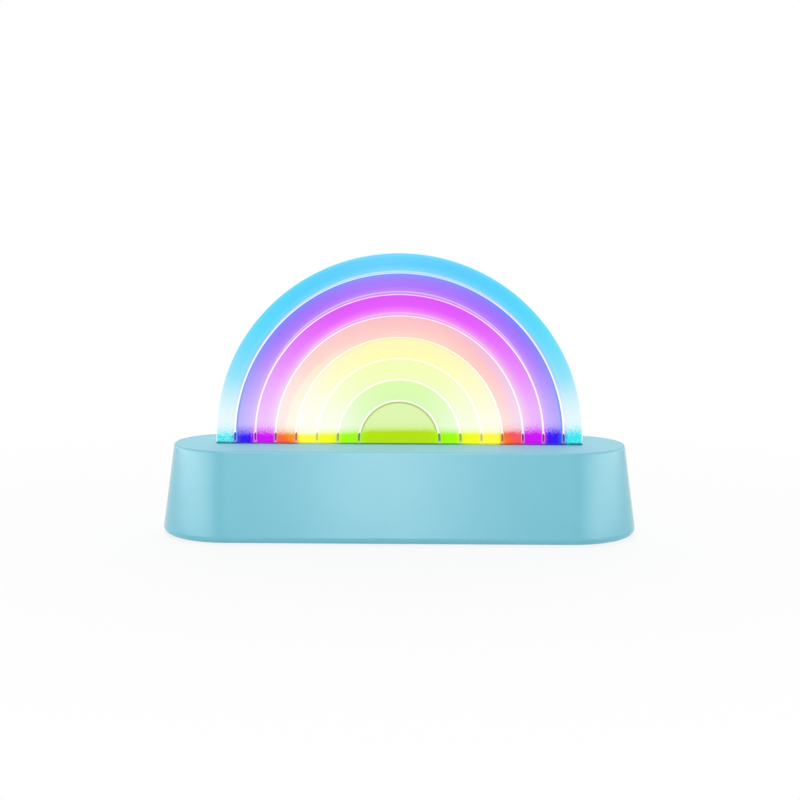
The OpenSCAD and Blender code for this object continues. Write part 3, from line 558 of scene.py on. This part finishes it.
# Both edges of each wall are a quarter circle. Over its turn, the wall's inset is sheet_edge times 1 less
# the sine, and its way in from the face is sheet_edge times 1 less the cosine
turn = np.radians(np.linspace(0, 90, 4))
from_face = sheet_edge * (1 - np.cos(turn))
insets = sheet_edge * np.concatenate([1 - np.sin(turn), (1 - np.sin(turn))[::-1]])
levels = np.concatenate([-sheet_t / 2 + from_face, sheet_t / 2 - from_face[::-1]])
points, walls, rims, start = [], [], [], 0
for loop in loops:
    rings = np.stack([
        np.insert(inset_loop(loop, inset), 1, level, 1) for inset, level in zip(insets, levels)])
    ring_count, n = rings.shape[:2]
    points.append(rings.reshape(-1, 3))
    index = start + np.arange(ring_count * n).reshape(ring_count, n)
    ahead = np.roll(index, -1, 1)
    walls.append(np.stack([index[:-1], ahead[:-1], ahead[1:], index[1:]], -1).reshape(-1, 4))
    rims.append(index)
    start += ring_count * n
points = np.concatenate(points)

# The front face fills the loops with triangles, less those in a slot or outside the outline, and the rear
# face repeats it
front_ids = np.concatenate([index[0] for index in rims])
rear_ids = np.concatenate([index[-1] for index in rims])
flat = points[front_ids][:, [0, 2]]
here = np.arange(len(flat))
sizes = [index.shape[1] for index in rims]
after = np.concatenate([np.roll(ids, -1) for ids in np.split(here, np.cumsum(sizes)[:-1])])
edges = np.stack([here, after], 1).tolist()
_, _, triangles, found, _, _ = delaunay_2d_cdt([Vector(p) for p in flat], edges, [], 0, 1e-9)
triangles = np.array([[found[v][0] for v in t] for t in triangles])
middles = flat[triangles].mean(1)
x, z = middles[:, 0, None], middles[:, 1, None]
half_waists = slot_waists / 2
past_inner = np.hypot(x, np.maximum(z - slot_springs - half_waists, 0)) > slot_radii - slot_w / 2
within_outer = np.hypot(x, np.maximum(z - slot_springs + half_waists, 0)) < slot_radii + slot_w / 2
in_slot = past_inner & within_outer & (z > base_top + slot_floor)
outer_rise = np.maximum(middles[:, 1] - base_top - sheet_lift, 0)
in_sheet = np.hypot(middles[:, 0], outer_rise) < sheet_r
triangles = triangles[in_sheet & ~in_slot.any(1)]
front = front_ids[triangles]
rear = rear_ids[triangles][:, ::-1]
wall_faces = np.concatenate(walls).tolist()
sheet_mesh = bpy.data.meshes.new("acrylic_rainbow")
sheet_mesh.from_pydata(points.tolist(), [], wall_faces + front.tolist() + rear.tolist())
sheet_mesh.polygons.foreach_set("use_smooth", np.arange(len(sheet_mesh.polygons)) < len(wall_faces))
sheet_mesh.update()
sheet = bpy.data.objects.new("acrylic_rainbow", sheet_mesh)
bpy.context.collection.objects.link(sheet)

# The acrylic's light is drawn in terms of its arches: the height in mm above the base, the reach in mm from
# their centre, the band, and climbed, which goes from 0 at the foot to 1 at the crown. A foot's light
# stays on the sheet when it is lifted out
acrylic = bpy.data.materials.new("edge_lit_cast_acrylic")
acrylic.use_nodes = True
tree = acrylic.node_tree
surface = tree.nodes["Principled BSDF"]
place = add(tree, "TexCoord").outputs["Object"]
xyz = add(tree, "SeparateXYZ", {0: place})
aside_m = add(tree, "Math", {0: xyz.outputs["X"]}, operation="ABSOLUTE")
aside = add(tree, "Math", {0: aside_m, 1: 1 / MM}, operation="MULTIPLY")
height = add(tree, "Math", {0: xyz.outputs["Z"], 1: 1 / MM, 2: -base_top / MM}, operation="MULTIPLY_ADD")


def arch_place(tree, aside, height):
    """Distance from the arches' centre and height above it, in mm, and the band, counted out from slot 0.

    The height has the centre's own taken off, and is 0 below it. The distance is the root of the sum of the
    squares of aside and that height. The band is the distance less the first slot's radius, plus the tuck,
    over the pitch. Centre and tuck grow with the band's square, so all is worked out twice: first from the
    middle band, 3, and then from the band that this gives.
    """
    band = 3.0
    for _ in range(2):
        inside = add(tree, "Math", {0: band, 1: 0.0}, operation="MAXIMUM")
        square = add(tree, "Math", {0: inside, 1: inside}, operation="MULTIPLY")
        tuck = add(tree, "Math", {0: square, 1: foot_tuck / MM}, operation="MULTIPLY")
        spring = add(tree, "Math", {0: tuck, 1: slot_stilt / MM}, operation="ADD")
        above = add(tree, "Math", {0: height, 1: spring}, operation="SUBTRACT")
        climb = add(tree, "Math", {0: above, 1: 0.0}, operation="MAXIMUM")
        radial = add(tree, "CombineXYZ", {0: aside, 1: climb, 2: 0.0})
        reach = add(tree, "VectorMath", {0: radial}, operation="LENGTH").outputs["Value"]
        past_first = add(tree, "Math", {0: reach, 1: first_slot_r / MM}, operation="SUBTRACT")
        tucked = add(tree, "Math", {0: past_first, 1: tuck}, operation="ADD")
        band = add(tree, "Math", {0: tucked, 1: slot_pitch / MM}, operation="DIVIDE")
    return reach, climb, band


reach, climb, band = arch_place(tree, aside, height)
angle = add(tree, "Math", {0: climb, 1: aside}, operation="ARCTAN2")
climbed = add(tree, "Math", {0: angle, 1: math.pi / 2}, operation="DIVIDE")
first_band, last_band = -2.0, 7.0
band_share = add(tree, "MapRange", {
    "Value": band, "From Min": first_band, "From Max": last_band, "To Min": 0.0, "To Max": 1.0})


def band_stops(values):
    """Ramp stops from pairs of band and value: the band less first_band, over last_band less first_band.

    Bands count outwards from the innermost slot, 0, to the rim, 6.88.
    """
    return [((band - first_band) / (last_band - first_band), value) for band, value in values]


# Pastel of each band at the crown, from its inner to its outer edge, as light leaks over from the next.
# The half disc has a deeper line along its edge
pastel = add(tree, "ValToRGB", {"Fac": band_share}, stops=band_stops([
    (-0.6, "DFF6B0"), (-0.14, "DEF5AE"), (-0.11, "B4CA74"), (-0.01, "B4CA74"),
    (0.01, "DAFAB4"), (0.99, "DCFBAC"),
    (1.01, "F2FCBC"), (1.99, "F4FCB5"),
    (2.01, "FDFDB3"), (2.8, "FCF7B8"), (2.99, "F8F0BA"),
    (3.01, "FCD6CB"), (3.5, "FEC7C4"), (3.99, "F6BDC6"),
    (4.01, "F0B0E6"), (4.3, "EC78F6"), (4.5, "E458FC"), (4.99, "DC50F7"),
    (5.01, "CE8CF8"), (5.4, "AC73FD"), (5.7, "A078FC"), (5.99, "7E92FB"),
    (6.01, "A5D4FC"), (6.15, "78D4FE"), (6.4, "5ACAFD"), (6.75, "5ACEFD"), (6.88, "78D6FE"),
]))

# The foot's own light, and the tint that it lends to its arch. The orange arch's light leans to the right,
# peach on the left and pink on the right, within the stretch of the orange foot
peach_from, pink_to = 52.4, 61.0
lean = add(tree, "Math", {0: xyz.outputs["X"], 1: 1 / MM}, operation="MULTIPLY")
orange_lean = add(tree, "ValToRGB", {"Fac": band_share}, stops=band_stops([
    (2.99, 0.0), (3.01, 0.09), (3.99, 0.09), (4.01, 0.0)]))
leaned = add(tree, "Math", {0: lean, 1: orange_lean}, operation="MULTIPLY")
rising = add(tree, "Math", {0: height, 1: 0.15}, operation="MULTIPLY")
rising = add(tree, "Math", {0: rising, 1: 1.0}, operation="MINIMUM")
moved = add(tree, "Math", {0: leaned, 1: rising, 2: reach}, operation="MULTIPLY_ADD")
pinkest = add(tree, "Math", {0: reach, 1: pink_to}, operation="MAXIMUM")
peachiest = add(tree, "Math", {0: reach, 1: peach_from}, operation="MINIMUM")
moved = add(tree, "Math", {0: moved, 1: pinkest}, operation="MINIMUM")
foot_at = add(tree, "Math", {0: moved, 1: peachiest}, operation="MAXIMUM")
foot = foot_ramp(tree, foot_at)
peach = add(tree, "Math", {0: leaned, 1: 0.0}, operation="MINIMUM")
tint_at = add(tree, "Math", {0: reach, 1: leaned}, operation="ADD")
tint_at = add(tree, "Math", {0: peach, 1: 0.25, 2: tint_at}, operation="MULTIPLY_ADD")
tint = foot_ramp(tree, tint_at)
tint_share = add(tree, "ValToRGB", {"Fac": climbed}, stops=[(0.0, 0.3), (0.45, 0.38), (0.8, 0.0)])
tint_band = add(tree, "ValToRGB", {"Fac": band_share}, stops=band_stops([
    (2.99, 0.0), (3.01, 0.5), (3.99, 0.5), (4.01, 0.0), (5.01, 0.1), (5.5, 0.3), (5.99, 0.8), (6.01, 0.8),
    (6.4, 1.0)]))
tint_here = add(tree, "Math", {0: tint_share, 1: tint_band}, operation="MULTIPLY")

# The glare above each foot is a share of white that dies away as the arch climbs, sooner in the outer bands
# and on the right: the share is a curve over the climb, to the power of 3 times the band's own number
glare_lean = add(tree, "ValToRGB", {"Fac": band_share}, stops=band_stops([
    (2.99, 0.0012), (3.01, 0.002), (3.99, 0.002), (4.01, 0.0006), (5.99, 0.0004), (6.01, 0.0)]))
leaning = add(tree, "Math", {0: lean, 1: glare_lean, 2: climbed}, operation="MULTIPLY_ADD")
glare = add(tree, "ValToRGB", {"Fac": leaning}, stops=[
    (0.0, 0.93), (0.11, 0.8), (0.22, 0.64), (0.33, 0.43), (0.44, 0.28), (0.56, 0.15), (0.67, 0.05),
    (0.82, 0.0)])
sooner = add(tree, "ValToRGB", {"Fac": band_share}, stops=band_stops([
    (2.99, 0.33), (3.01, 0.26), (3.99, 0.26), (4.01, 0.4), (4.99, 0.4), (5.01, 0.6), (5.99, 0.6),
    (6.01, 0.75)]))
power = add(tree, "Math", {0: sooner, 1: 3.0}, operation="MULTIPLY")
glare_left = add(tree, "Math", {0: glare, 1: power}, operation="POWER")
glare_band = add(tree, "ValToRGB", {"Fac": band_share}, stops=band_stops([
    (-0.01, 0.0), (0.01, 0.5), (0.99, 0.85), (1.01, 0.9), (3.99, 1.0), (4.01, 0.64), (4.99, 0.6),
    (5.01, 0.56), (5.99, 0.56), (6.01, 1.0)]))
glare_here = add(tree, "Math", {0: glare_left, 1: glare_band}, operation="MULTIPLY")
glare_low = add(tree, "ValToRGB", {"Fac": band_share}, stops=band_stops([
    (-0.01, 0.2), (0.99, 0.2), (1.01, 0.6), (1.99, 0.6), (2.01, 1.0), (3.99, 1.0), (4.01, 0.2), (5.99, 0.15),
    (6.01, 1.0)]))
glare_rise = add(tree, "MapRange", {"Value": height, "From Min": 3.5, "From Max": 9.0, "To Min": glare_low})
glare_here = add(tree, "Math", {0: glare_here, 1: glare_rise}, operation="MULTIPLY")
glowing = add(tree, "Mix", {0: glare_here, 6: pastel, 7: (1, 1, 1, 1)}, data_type="RGBA").outputs[2]
tinted = add(tree, "Mix", {0: tint_here, 6: glowing, 7: tint}, data_type="RGBA").outputs[2]
# It is strongest over the cyan foot, where only a trace of colour is left
past_blue = add(tree, "Math", {0: band, 1: 6.0}, operation="GREATER_THAN")
cyan_glare = add(tree, "MapRange", {
    "Value": climbed, "From Min": 0.07, "From Max": 0.22, "To Min": 0.62, "To Max": 0.0})
cyan_glare = add(tree, "Math", {0: cyan_glare, 1: past_blue}, operation="MULTIPLY")
tinted = add(tree, "Mix", {0: cyan_glare, 6: tinted, 7: (1, 1, 1, 1)}, data_type="RGBA").outputs[2]

# The saturated foot is full up to a height that differs from diode to diode and is lowest on the left.
# Above it, it dies away by e for each decay length, with a grain that is coarser in the outer bands
foot_grain, foot_tilt = 0.55 * MM, 0.011
grains = add(tree, "TexNoise", {"Vector": place, "Scale": 1 / foot_grain, "Detail": 1.0})
coarse = add(tree, "MapRange", {
    "Value": band, "From Min": 2.9, "From Max": 4.3, "To Min": 1.0, "To Max": 5.0})
coarse_up = add(tree, "Math", {0: height, 1: 0.15, 2: 0.4}, operation="MULTIPLY_ADD")
coarse = add(tree, "Math", {0: coarse, 1: coarse_up}, operation="MULTIPLY")
grain_signed = add(tree, "Math", {0: grains, 1: 0.5}, operation="SUBTRACT")
ragged = add(tree, "Math", {0: grain_signed, 1: coarse, 2: height}, operation="MULTIPLY_ADD")
fill = add(tree, "Math", {0: foot_ramp(tree, reach, "height"), 1: 10.0}, operation="MULTIPLY")
tilt = add(tree, "Math", {0: lean, 1: foot_tilt, 2: fill}, operation="MULTIPLY_ADD")
over = add(tree, "Math", {0: tilt, 1: ragged}, operation="SUBTRACT")
decay_length = add(tree, "MapRange", {
    "Value": band, "From Min": 2.9, "From Max": 4.3, "To Min": 1.4, "To Max": 2.0})
decay = add(tree, "Math", {0: over, 1: decay_length}, operation="DIVIDE")
fading = add(tree, "Math", {0: decay}, operation="EXPONENT")
foot_share = add(tree, "Math", {0: fading, 1: 1.0}, operation="MINIMUM")
# The primaries that the foot's colour lacks come in last, because the others are overexposed: each is held
# back by 0.8 times the foot's share and what it lacks
lacking = add(tree, "VectorMath", {
    0: foot, 1: (-0.8, -0.8, -0.8), 2: (0.8, 0.8, 0.8)}, operation="MULTIPLY_ADD")
held = add(tree, "VectorMath", {0: lacking, "Scale": foot_share}, operation="SCALE")
free = add(tree, "VectorMath", {0: (1, 1, 1), 1: held}, operation="SUBTRACT")
past_foot = add(tree, "Math", {0: 1.0, 1: foot_share}, operation="SUBTRACT")
free = add(tree, "VectorMath", {0: free, "Scale": past_foot}, operation="SCALE")
to_pale = add(tree, "VectorMath", {0: tinted, 1: foot}, operation="SUBTRACT")
lit = add(tree, "VectorMath", {0: to_pale, 1: free, 2: foot}, operation="MULTIPLY_ADD").outputs["Vector"]
# White sparkle in the cyan foot, more on the left
glint = add(tree, "ValToRGB", {"Fac": grains}, stops=[(0.5, 0.0), (0.62, 1.0)])
glint_side = add(tree, "MapRange", {
    "Value": lean, "From Min": -80.0, "From Max": 80.0, "To Min": 0.28, "To Max": 0.12})
glint_low = add(tree, "MapRange", {
    "Value": height, "From Min": 5.0, "From Max": 9.0, "To Min": 1.0, "To Max": 0.0})
glint_here = add(tree, "Math", {0: glint, 1: glint_side}, operation="MULTIPLY")
glint_here = add(tree, "Math", {0: glint_here, 1: past_blue}, operation="MULTIPLY")
glint_here = add(tree, "Math", {0: glint_here, 1: glint_low}, operation="MULTIPLY")
lit = add(tree, "Mix", {0: glint_here, 6: lit, 7: (1, 1, 1, 1)}, data_type="RGBA").outputs[2]

# A thin deeper blue line runs up the outer edge of the blue arch
edge_blue = add(tree, "ValToRGB", {"Fac": band_share}, stops=band_stops([
    (5.86, 0.0), (5.9, 0.6), (6.0, 0.6), (6.01, 0.0)]))
edge_low = add(tree, "MapRange", {
    "Value": climbed, "From Min": 0.1, "From Max": 0.35, "To Min": 1.0, "To Max": 0.0})
edge_here = add(tree, "Math", {0: edge_blue, 1: edge_low}, operation="MULTIPLY")
lit = add(tree, "Mix", {0: edge_here, 6: lit, 7: linear("4C86E8")}, data_type="RGBA").outputs[2]

# A pale line is painted above the three outer slots near the crown, for their back edges, which show through
# the clear sheet
lift = add(tree, "MapRange", {
    "Value": band, "From Min": 5.0, "From Max": 6.0, "To Min": 1.55, "To Max": 0.95})
lowered = add(tree, "Math", {0: height, 1: lift}, operation="SUBTRACT")
ghost_band = arch_place(tree, aside, lowered)[2]


def off_slot(tree, band):
    """Distance in mm from a slot's middle line: the band's distance from a whole one, times the pitch."""
    nearest = add(tree, "Math", {0: band}, operation="ROUND")
    off = add(tree, "Math", {0: band, 1: nearest}, operation="SUBTRACT")
    off = add(tree, "Math", {0: off}, operation="ABSOLUTE")
    return add(tree, "Math", {0: off, 1: slot_pitch / MM}, operation="MULTIPLY")


ghost_line = add(tree, "MapRange", {
    "Value": off_slot(tree, ghost_band), "From Min": 0.15, "From Max": 0.5, "To Min": 0.42, "To Max": 0.0,
}, interpolation_type="SMOOTHSTEP")
ghost_on = add(tree, "ValToRGB", {"Fac": band_share}, stops=band_stops([
    (3.95, 0.0), (4.0, 0.6), (4.9, 0.6), (5.0, 1.0), (6.2, 0.8), (6.3, 0.0)]))
ghost_high = add(tree, "MapRange", {"Value": climbed, "From Min": 0.2, "From Max": 0.5})
ghost = add(tree, "Math", {0: ghost_line, 1: ghost_on}, operation="MULTIPLY")
ghost = add(tree, "Math", {0: ghost, 1: ghost_high}, operation="MULTIPLY")
lit = add(tree, "Mix", {0: ghost, 6: lit, 7: (1, 0.9, 1, 1)}, data_type="RGBA").outputs[2]

# Walls and rounded edges let out the light that runs inside the sheet. They are whiter than their band
# round the inner bands and near the feet, and elsewhere they have its colour
normal = add(tree, "SeparateXYZ", {0: add(tree, "TexCoord").outputs["Normal"]})
facing = add(tree, "Math", {0: normal.outputs["Y"]}, operation="ABSOLUTE")
wall = add(tree, "MapRange", {
    "Value": facing, "From Min": 0.3, "From Max": 0.75, "To Min": 1.0, "To Max": 0.0})
wall_white = add(tree, "ValToRGB", {"Fac": band_share}, stops=band_stops([
    (0.4, 0.5), (0.6, 0.3), (1.4, 0.3), (1.6, 0.12), (2.4, 0.1), (2.6, 0.0), (5.4, 0.0), (6.4, 0.05),
    (6.6, 0.0)]))
low = add(tree, "MapRange", {
    "Value": climbed, "From Min": 0.1, "From Max": 0.5, "To Min": 0.12, "To Max": 0.0})
off_foot = add(tree, "MapRange", {"Value": height, "From Min": 5.0, "From Max": 7.0})
wall_share = add(tree, "Math", {0: wall_white, 1: low}, operation="MAXIMUM")
wall_share = add(tree, "Math", {0: wall_share, 1: off_foot}, operation="MULTIPLY")
wall_here = add(tree, "Math", {0: wall, 1: wall_share}, operation="MULTIPLY")
# Near the feet, a thin white outline runs on the face beside the slots and inside the rim
rim_start, rim_full = 91.7, 91.95
beside = add(tree, "MapRange", {
    "Value": off_slot(tree, band), "From Min": 0.74, "From Max": 0.86, "To Min": 0.55, "To Max": 0.0})
past_disc = add(tree, "Math", {0: band, 1: -0.3}, operation="GREATER_THAN")
beside = add(tree, "Math", {0: beside, 1: past_disc}, operation="MULTIPLY")
beside_end = add(tree, "MapRange", {
    "Value": height, "From Min": 5.0, "From Max": 7.0, "To Min": 1.0, "To Max": 0.0})
beside = add(tree, "Math", {0: beside, 1: beside_end}, operation="MULTIPLY")
rim = add(tree, "MapRange", {
    "Value": reach, "From Min": rim_start, "From Max": rim_full, "To Min": 0.0, "To Max": 0.8})
beside = add(tree, "Math", {0: beside, 1: rim}, operation="MAXIMUM")
beside_low = add(tree, "MapRange", {
    "Value": climbed, "From Min": 0.05, "From Max": 0.3, "To Min": 1.0, "To Max": 0.0})
beside_up = add(tree, "Math", {0: height, 1: 0.3}, operation="GREATER_THAN")
beside_here = add(tree, "Math", {0: beside, 1: beside_low}, operation="MULTIPLY")
beside_here = add(tree, "Math", {0: beside_here, 1: beside_up}, operation="MULTIPLY")
white_here = add(tree, "Math", {0: wall_here, 1: beside_here}, operation="MAXIMUM")
shown = add(tree, "Mix", {0: white_here, 6: lit, 7: (1, 1, 1, 1)}, data_type="RGBA").outputs[2]

# In the lowest 5 mm of the slots the channel's dark back wall shows through, and its shade is painted on the
# sheet's face along their edges
mark = add(tree, "MapRange", {
    "Value": off_slot(tree, band), "From Min": 0.6, "From Max": 0.7, "To Min": 1.0, "To Max": 0.0})
mark = add(tree, "Math", {0: mark, 1: past_disc}, operation="MULTIPLY")
slot_shade_top = add(tree, "MapRange", {
    "Value": height, "From Min": 4.6, "From Max": 5.0, "To Min": 1.0, "To Max": 0.0})
slot_shade_foot = add(tree, "MapRange", {"Value": height, "From Min": 0.5, "From Max": 0.9})
mark = add(tree, "Math", {0: mark, 1: slot_shade_top}, operation="MULTIPLY")
mark = add(tree, "Math", {0: mark, 1: slot_shade_foot}, operation="MULTIPLY")
# A painted shade line runs where the sheet stands behind the channel's lip, from the orange feet outwards,
# and it is fainter on the left
lip_line, lip_from, lip_full = 0.4, 46.0, 58.0
from_contact = add(tree, "Math", {0: height, 1: lip_line}, operation="SUBTRACT")
from_contact = add(tree, "Math", {0: from_contact}, operation="ABSOLUTE")
contact = add(tree, "MapRange", {
    "Value": from_contact, "From Min": 0.35, "From Max": 0.6, "To Min": 0.8, "To Max": 0.0})
contact_out = add(tree, "MapRange", {"Value": reach, "From Min": lip_from, "From Max": lip_full})
contact_side = add(tree, "MapRange", {
    "Value": lean, "From Min": -90.0, "From Max": 60.0, "To Min": 0.5, "To Max": 1.0})
contact = add(tree, "Math", {0: contact, 1: contact_out}, operation="MULTIPLY")
contact = add(tree, "Math", {0: contact, 1: contact_side}, operation="MULTIPLY")
mark = add(tree, "Math", {0: mark, 1: contact}, operation="MAXIMUM")
# The painted shade of the slot edges and the lip line goes over the sheet's light
shade = dark_foot(tree, reach, foot, contact)
shown = add(tree, "Mix", {0: mark, 6: shown, 7: shade}, data_type="RGBA").outputs[2]
# Clear acrylic reflects little of the room's light beside what it lets out, and mirrors it softly
body = add(tree, "Mix", {0: 0.12, 6: (0, 0, 0, 1), 7: shown}, data_type="RGBA").outputs[2]
# The real sheet is brighter than a picture's white, so its mirror on the base is paler than the sheet
mirror_ray = add(tree, "LightPath").outputs["Is Glossy Ray"]
mirrored = add(tree, "Math", {0: mirror_ray, 1: 0.52}, operation="MULTIPLY")
shown = add(tree, "Mix", {0: mirrored, 6: shown, 7: (2.2, 2.2, 2.2, 1)}, data_type="RGBA").outputs[2]
tree.links.new(body, surface.inputs["Base Color"])
tree.links.new(shown, surface.inputs["Emission Color"])
surface.inputs["Emission Strength"].default_value = 0.89
surface.inputs["Roughness"].default_value = 0.14
surface.inputs["IOR"].default_value = 1.49
surface.inputs["Specular IOR Level"].default_value = 0.12
sheet_mesh.materials.append(acrylic)
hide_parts("rainbow_panel")
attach(sheet, "panel")
